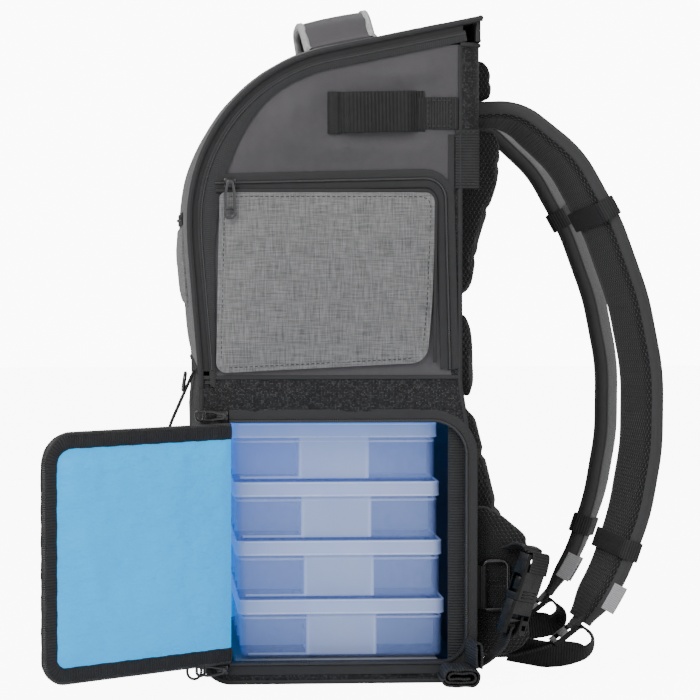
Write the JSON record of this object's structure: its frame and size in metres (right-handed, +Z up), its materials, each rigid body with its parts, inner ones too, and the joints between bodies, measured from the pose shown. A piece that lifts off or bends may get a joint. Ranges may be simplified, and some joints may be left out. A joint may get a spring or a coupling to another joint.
{
  "type": "tackle backpack",
  "caption": "Upright fishing backpack with a clamshell top, a hinged side door over a stack of slide-out tackle boxes, side pockets, rod bands and a padded harness.",
  "frame": {"origin": "centre of the base, on the ground", "axes": "+Z up, +X towards the side with the box door, +Y towards the wearer's back"},
  "size_m": [0.4335, 0.4835, 0.5359],
  "materials": {
    "coarse_weave": "coarse basket weave polyester",
    "smooth_nylon": "smooth coated nylon",
    "melange_weave": "light grey two-tone weave",
    "binding": "ribbed woven tape",
    "webbing": "woven webbing",
    "blue_lining": "satin lining",
    "spacer_mesh": "spacer mesh over foam",
    "light_tab": "light stitched tape",
    "handle_cover": "grey fabric with light piping",
    "foam": "closed-cell foam",
    "board": "sheet plastic stiffener",
    "box_plastic": "translucent polypropylene",
    "hardware": "moulded plastic",
    "zip_metal": "black enamel",
    "ring_wire": "black coated wire"
  },
  "bodies": {
    "bag": {"base_panel": "coarse_weave", "base_board": "board", "base_foam": "foam", "front_panel_lower": "coarse_weave", "front_foam": "foam", "back_panel": "coarse_weave", "back_stiffener": "board", "compartment_floor": "board", "box_lining": "blue_lining", "door_rim": "binding", "door_zip_tape": "binding", "main_zip_tape": "binding", "door_sliders": "zip_metal", "pocket_zips": "binding", "rod_bands": "webbing", "side_webbing": "webbing", "back_pads": "spacer_mesh", "lumbar_pad": "spacer_mesh", "strap_keepers": "webbing", "strap_tabs": "light_tab", "ladder_locks": "hardware", "harness_webbing": "webbing", "hip_wings": "coarse_weave", "belt_roll": "webbing", "buckle_female": "hardware", "lash_strap": "webbing", "side_panel_right_lower": "coarse_weave", "side_panel_right_upper": "smooth_nylon", "side_panel_left_lower": "coarse_weave", "side_panel_left_upper": "smooth_nylon", "pocket_panel_right": "melange_weave", "pocket_panel_left": "melange_weave", "shoulder_strap_right": "spacer_mesh", "shoulder_strap_left": "spacer_mesh"},
    "door": {"door_panel": "coarse_weave", "door_lining": "blue_lining", "door_binding": "binding"},
    "lid": {"lid_shell": "smooth_nylon", "front_pocket": "melange_weave", "carry_handle": "handle_cover"},
    "tackle_box_1": {"tackle_box_1_tray": "box_plastic", "tackle_box_1_lid": "box_plastic"},
    "tackle_box_2": {"tackle_box_2_tray": "box_plastic", "tackle_box_2_lid": "box_plastic"},
    "tackle_box_3": {"tackle_box_3_tray": "box_plastic", "tackle_box_3_lid": "box_plastic"},
    "tackle_box_4": {"tackle_box_4_tray": "box_plastic", "tackle_box_4_lid": "box_plastic"},
    "pocket_slider_right": {"pocket_slider_right": "zip_metal"},
    "pocket_pull_right": {"pocket_pull_right": "zip_metal"},
    "pocket_slider_left": {"pocket_slider_left": "zip_metal"},
    "pocket_pull_left": {"pocket_pull_left": "zip_metal"},
    "main_slider": {"main_slider": "zip_metal"},
    "main_pull": {"main_pull": "zip_metal"},
    "door_pull_top": {"door_pull_top": "zip_metal"},
    "door_pull_bottom": {"door_pull_bottom": "zip_metal"},
    "belt_ring": {"belt_ring": "ring_wire"},
    "buckle_plug": {"buckle_male": "hardware"},
    "buckle_prong_front": {"buckle_prong_front": "hardware"},
    "buckle_prong_rear": {"buckle_prong_rear": "hardware"}
  },
  "joints": [
    {"name": "door_swing", "type": "hinge", "parent": "bag", "child": "door", "pos_m": [0.1515, -0.08, 0.1115], "axis": [0, 0, -1], "range_deg": [-140, 30]},
    {"name": "lid_open", "type": "hinge", "parent": "bag", "child": "lid", "pos_m": [0, -0.103, 0.243], "axis": [1, 0, 0], "range_deg": [0, 100]},
    {"name": "tackle_box_1_slide", "type": "slide", "parent": "bag", "child": "tackle_box_1", "axis": [1, 0, 0], "range_m": [0, 0.26]},
    {"name": "tackle_box_2_slide", "type": "slide", "parent": "bag", "child": "tackle_box_2", "axis": [1, 0, 0], "range_m": [0, 0.26]},
    {"name": "tackle_box_3_slide", "type": "slide", "parent": "bag", "child": "tackle_box_3", "axis": [1, 0, 0], "range_m": [0, 0.26]},
    {"name": "tackle_box_4_slide", "type": "slide", "parent": "bag", "child": "tackle_box_4", "axis": [1, 0, 0], "range_m": [0, 0.26]},
    {"name": "pocket_zip_right", "type": "slide", "parent": "bag", "child": "pocket_slider_right", "axis": [0, 0.9997, 0.0225], "range_m": [0, 0.15]},
    {"name": "pocket_pull_right_swing", "type": "hinge", "parent": "pocket_slider_right", "child": "pocket_pull_right", "pos_m": [0.1583, -0.078, 0.392], "axis": [0, -1, 0], "range_deg": [0, 150]},
    {"name": "pocket_zip_left", "type": "slide", "parent": "bag", "child": "pocket_slider_left", "axis": [0, 0.9997, 0.0225], "range_m": [0, 0.15]},
    {"name": "pocket_pull_left_swing", "type": "hinge", "parent": "pocket_slider_left", "child": "pocket_pull_left", "pos_m": [-0.1583, -0.078, 0.392], "axis": [0, 1, 0], "range_deg": [0, 150]},
    {"name": "main_zip", "type": "slide", "parent": "bag", "child": "main_slider", "axis": [0, -0.0807, 0.9967], "range_m": [0, 0.085]},
    {"name": "main_pull_swing", "type": "hinge", "parent": "main_slider", "child": "main_pull", "pos_m": [-0.1583, -0.0953, 0.264], "axis": [0, 1, 0], "range_deg": [0, 150]},
    {"name": "door_pull_top_swing", "type": "hinge", "parent": "bag", "child": "door_pull_top", "pos_m": [0.1583, -0.0845, 0.211], "axis": [0, 0, 1], "range_deg": [0, 170]},
    {"name": "door_pull_bottom_swing", "type": "hinge", "parent": "bag", "child": "door_pull_bottom", "pos_m": [0.1583, -0.0845, 0.012], "axis": [0, 0, 1], "range_deg": [0, 170]},
    {"name": "belt_ring_swing", "type": "hinge", "parent": "bag", "child": "belt_ring", "pos_m": [0.139, 0.122, 0.07525], "axis": [0, 0, -1], "range_deg": [0, 90]},
    {"name": "buckle_release", "type": "slide", "parent": "bag", "child": "buckle_plug", "axis": [0, -0.3074, -0.9516], "range_m": [0, 0.03]},
    {"name": "buckle_prong_front_squeeze", "type": "hinge", "parent": "buckle_plug", "child": "buckle_prong_front", "pos_m": [0.15072, 0.15477, 0.06387], "axis": [0.6428, 0.729, -0.2354], "range_deg": [0, 6], "stiffness_Nm_per_rad": 0.02},
    {"name": "buckle_prong_rear_squeeze", "type": "hinge", "parent": "buckle_plug", "child": "buckle_prong_rear", "pos_m": [0.16528, 0.14315, 0.06762], "axis": [0.6428, 0.729, -0.2354], "range_deg": [-6, 0], "stiffness_Nm_per_rad": 0.02}
  ]
}
